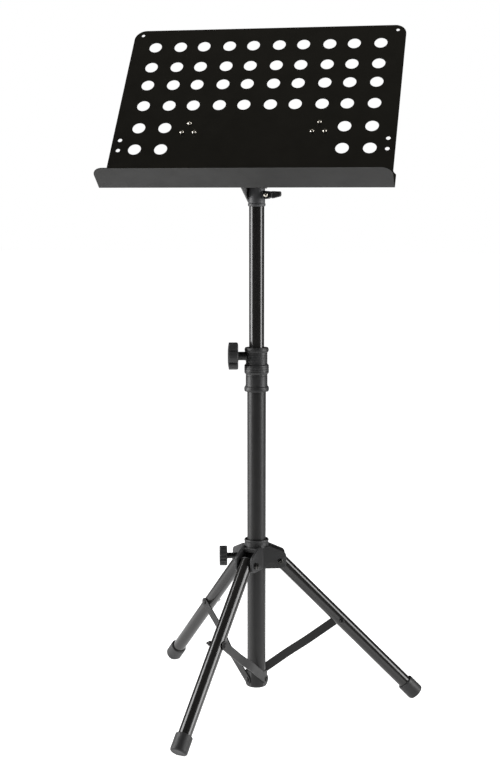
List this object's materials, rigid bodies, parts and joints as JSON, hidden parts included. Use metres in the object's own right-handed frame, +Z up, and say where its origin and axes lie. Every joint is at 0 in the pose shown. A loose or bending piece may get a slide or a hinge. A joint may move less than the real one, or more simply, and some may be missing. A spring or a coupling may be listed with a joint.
{
  "type": "music stand",
  "caption": "Folding music stand: perforated sheet desk with a shelf lip on a tilting, swivelling head, telescopic pole, and three braced tube legs.",
  "frame": {"origin": "bottom centre of the whole stand's box, on the floor; the pole axis stands at x = -20.2 mm, y = 37.3 mm", "axes": "+Z up along the pole; the desk faces -Y and its width lies along X"},
  "size_m": [0.5233, 0.4925, 1.1621],
  "materials": {
    "desk_paint": "near-black fine-texture powder coat, satin",
    "satin_paint": "dark grey-black satin powder coat",
    "head_paint": "dark grey satin paint, lighter than the rest of the stand",
    "gloss_paint": "black gloss enamel with strong highlights",
    "black_plastic": "moulded black nylon, satin",
    "foot_rubber": "matt black rubber",
    "black_zinc": "black zinc-plated steel",
    "bright_nickel": "nickel-plated, slightly warm",
    "brass": "plain turned brass"
  },
  "bodies": {
    "base": {"outer_tube": "satin_paint", "height_collar": "black_plastic", "collar_insert": "brass", "base_bracket": "satin_paint", "base_rivet_right": "satin_paint", "base_rivet_back": "satin_paint", "base_rivet_front": "satin_paint"},
    "mast": {"inner_tube": "gloss_paint", "inner_tube_bush": "black_plastic"},
    "height_knob": {"height_knob": "black_plastic", "height_knob_screw": "black_zinc"},
    "hub": {"spreader_hub": "black_plastic", "hub_insert": "brass", "leg_bolt_right": "black_zinc", "leg_bolt_back": "black_zinc", "leg_bolt_front": "black_zinc", "leg_nut_right": "black_zinc", "leg_nut_back": "black_zinc", "leg_nut_front": "black_zinc"},
    "spreader_knob": {"spreader_knob": "black_plastic", "spreader_knob_screw": "black_zinc"},
    "leg_right": {"leg_tube_right": "gloss_paint", "leg_plug_right": "black_plastic", "foot_right": "foot_rubber", "brace_pin_right": "satin_paint"},
    "brace_right": {"brace_right": "satin_paint", "brace_rivet_right": "satin_paint"},
    "leg_back": {"leg_tube_back": "gloss_paint", "leg_plug_back": "black_plastic", "foot_back": "foot_rubber", "brace_pin_back": "satin_paint"},
    "brace_back": {"brace_back": "satin_paint", "brace_rivet_back": "satin_paint"},
    "leg_front": {"leg_tube_front": "gloss_paint", "leg_plug_front": "black_plastic", "foot_front": "foot_rubber", "brace_pin_front": "satin_paint"},
    "brace_front": {"brace_front": "satin_paint", "brace_rivet_front": "satin_paint"},
    "head": {"head_sleeve": "head_paint", "sleeve_cap": "black_plastic", "head_yoke": "head_paint", "clamp_bolt": "bright_nickel", "clamp_nut": "black_zinc", "tilt_bolt": "black_zinc", "tilt_nut": "black_zinc", "tilt_washer_left": "brass", "tilt_washer_right": "brass", "tilt_spacer": "black_zinc"},
    "clamp": {"clamp_lever": "satin_paint", "clamp_grip": "black_plastic"},
    "desk": {"desk_plate": "desk_paint", "desk_bracket": "satin_paint", "desk_rivet_top_left": "bright_nickel", "desk_rivet_top_right": "bright_nickel", "desk_rivet_inner_left": "bright_nickel", "desk_rivet_inner_right": "bright_nickel", "desk_rivet_outer_left": "bright_nickel", "desk_rivet_outer_right": "bright_nickel"}
  },
  "joints": [
    {"name": "height_slide", "type": "slide", "parent": "base", "child": "mast", "axis": [0, 0, 1], "range_m": [-0.225, 0.2]},
    {"name": "height_knob_turn", "type": "hinge", "parent": "base", "child": "height_knob", "pos_m": [-0.0202, 0.0373, 0.6075], "axis": [-0.9703, -0.2419, 0], "continuous": true},
    {"name": "hub_slide", "type": "slide", "parent": "base", "child": "hub", "axis": [0, 0, 1], "range_m": [0, 0.1171]},
    {"name": "spreader_knob_turn", "type": "hinge", "parent": "hub", "child": "spreader_knob", "pos_m": [-0.0202, 0.0373, 0.261], "axis": [-0.9703, -0.2419, 0], "continuous": true},
    {"name": "leg_right_fold", "type": "hinge", "parent": "hub", "child": "leg_right", "pos_m": [0.0186, 0.0482, 0.2535], "axis": [-0.2706, 0.9627, 0], "range_deg": [0, 44.6]},
    {"name": "leg_back_fold", "type": "hinge", "parent": "hub", "child": "leg_back", "pos_m": [-0.04904, 0.06545, 0.2535], "axis": [-0.6984, -0.7157, 0], "range_deg": [0, 44.6]},
    {"name": "leg_front_fold", "type": "hinge", "parent": "hub", "child": "leg_front", "pos_m": [-0.03015, -0.00175, 0.2535], "axis": [0.969, -0.247, 0], "range_deg": [0, 44.6]},
    {"name": "brace_right_fold", "type": "hinge", "parent": "base", "child": "brace_right", "pos_m": [-0.0202, 0.0373, 0.0417], "axis": [0.2706, -0.9627, 0], "range_deg": [0, 42.5]},
    {"name": "brace_back_fold", "type": "hinge", "parent": "base", "child": "brace_back", "pos_m": [-0.0202, 0.0373, 0.0417], "axis": [0.6984, 0.7157, 0], "range_deg": [0, 42.5]},
    {"name": "brace_front_fold", "type": "hinge", "parent": "base", "child": "brace_front", "pos_m": [-0.0202, 0.0373, 0.0417], "axis": [-0.969, 0.247, 0], "range_deg": [0, 42.5]},
    {"name": "desk_swivel", "type": "hinge", "parent": "mast", "child": "head", "pos_m": [-0.0202, 0.0373, 0.859], "axis": [0, 0, 1], "continuous": true},
    {"name": "desk_tilt", "type": "hinge", "parent": "head", "child": "desk", "pos_m": [-0.0202, -0.00471, 0.92513], "axis": [-1, 0, 0], "range_deg": [-35, 52]},
    {"name": "clamp_lever_turn", "type": "hinge", "parent": "head", "child": "clamp", "pos_m": [-0.0014, 0.0233, 0.878], "axis": [0, 1, 0], "range_deg": [-40, 75]}
  ],
  "couplings": [
    {"joint": "leg_right_fold", "follows": "hub_slide", "rad_per_m": 6.6385},
    {"joint": "leg_back_fold", "follows": "hub_slide", "rad_per_m": 6.6385},
    {"joint": "leg_front_fold", "follows": "hub_slide", "rad_per_m": 6.6385},
    {"joint": "brace_right_fold", "follows": "hub_slide", "rad_per_m": 6.3136},
    {"joint": "brace_back_fold", "follows": "hub_slide", "rad_per_m": 6.3136},
    {"joint": "brace_front_fold", "follows": "hub_slide", "rad_per_m": 6.3136}
  ]
}
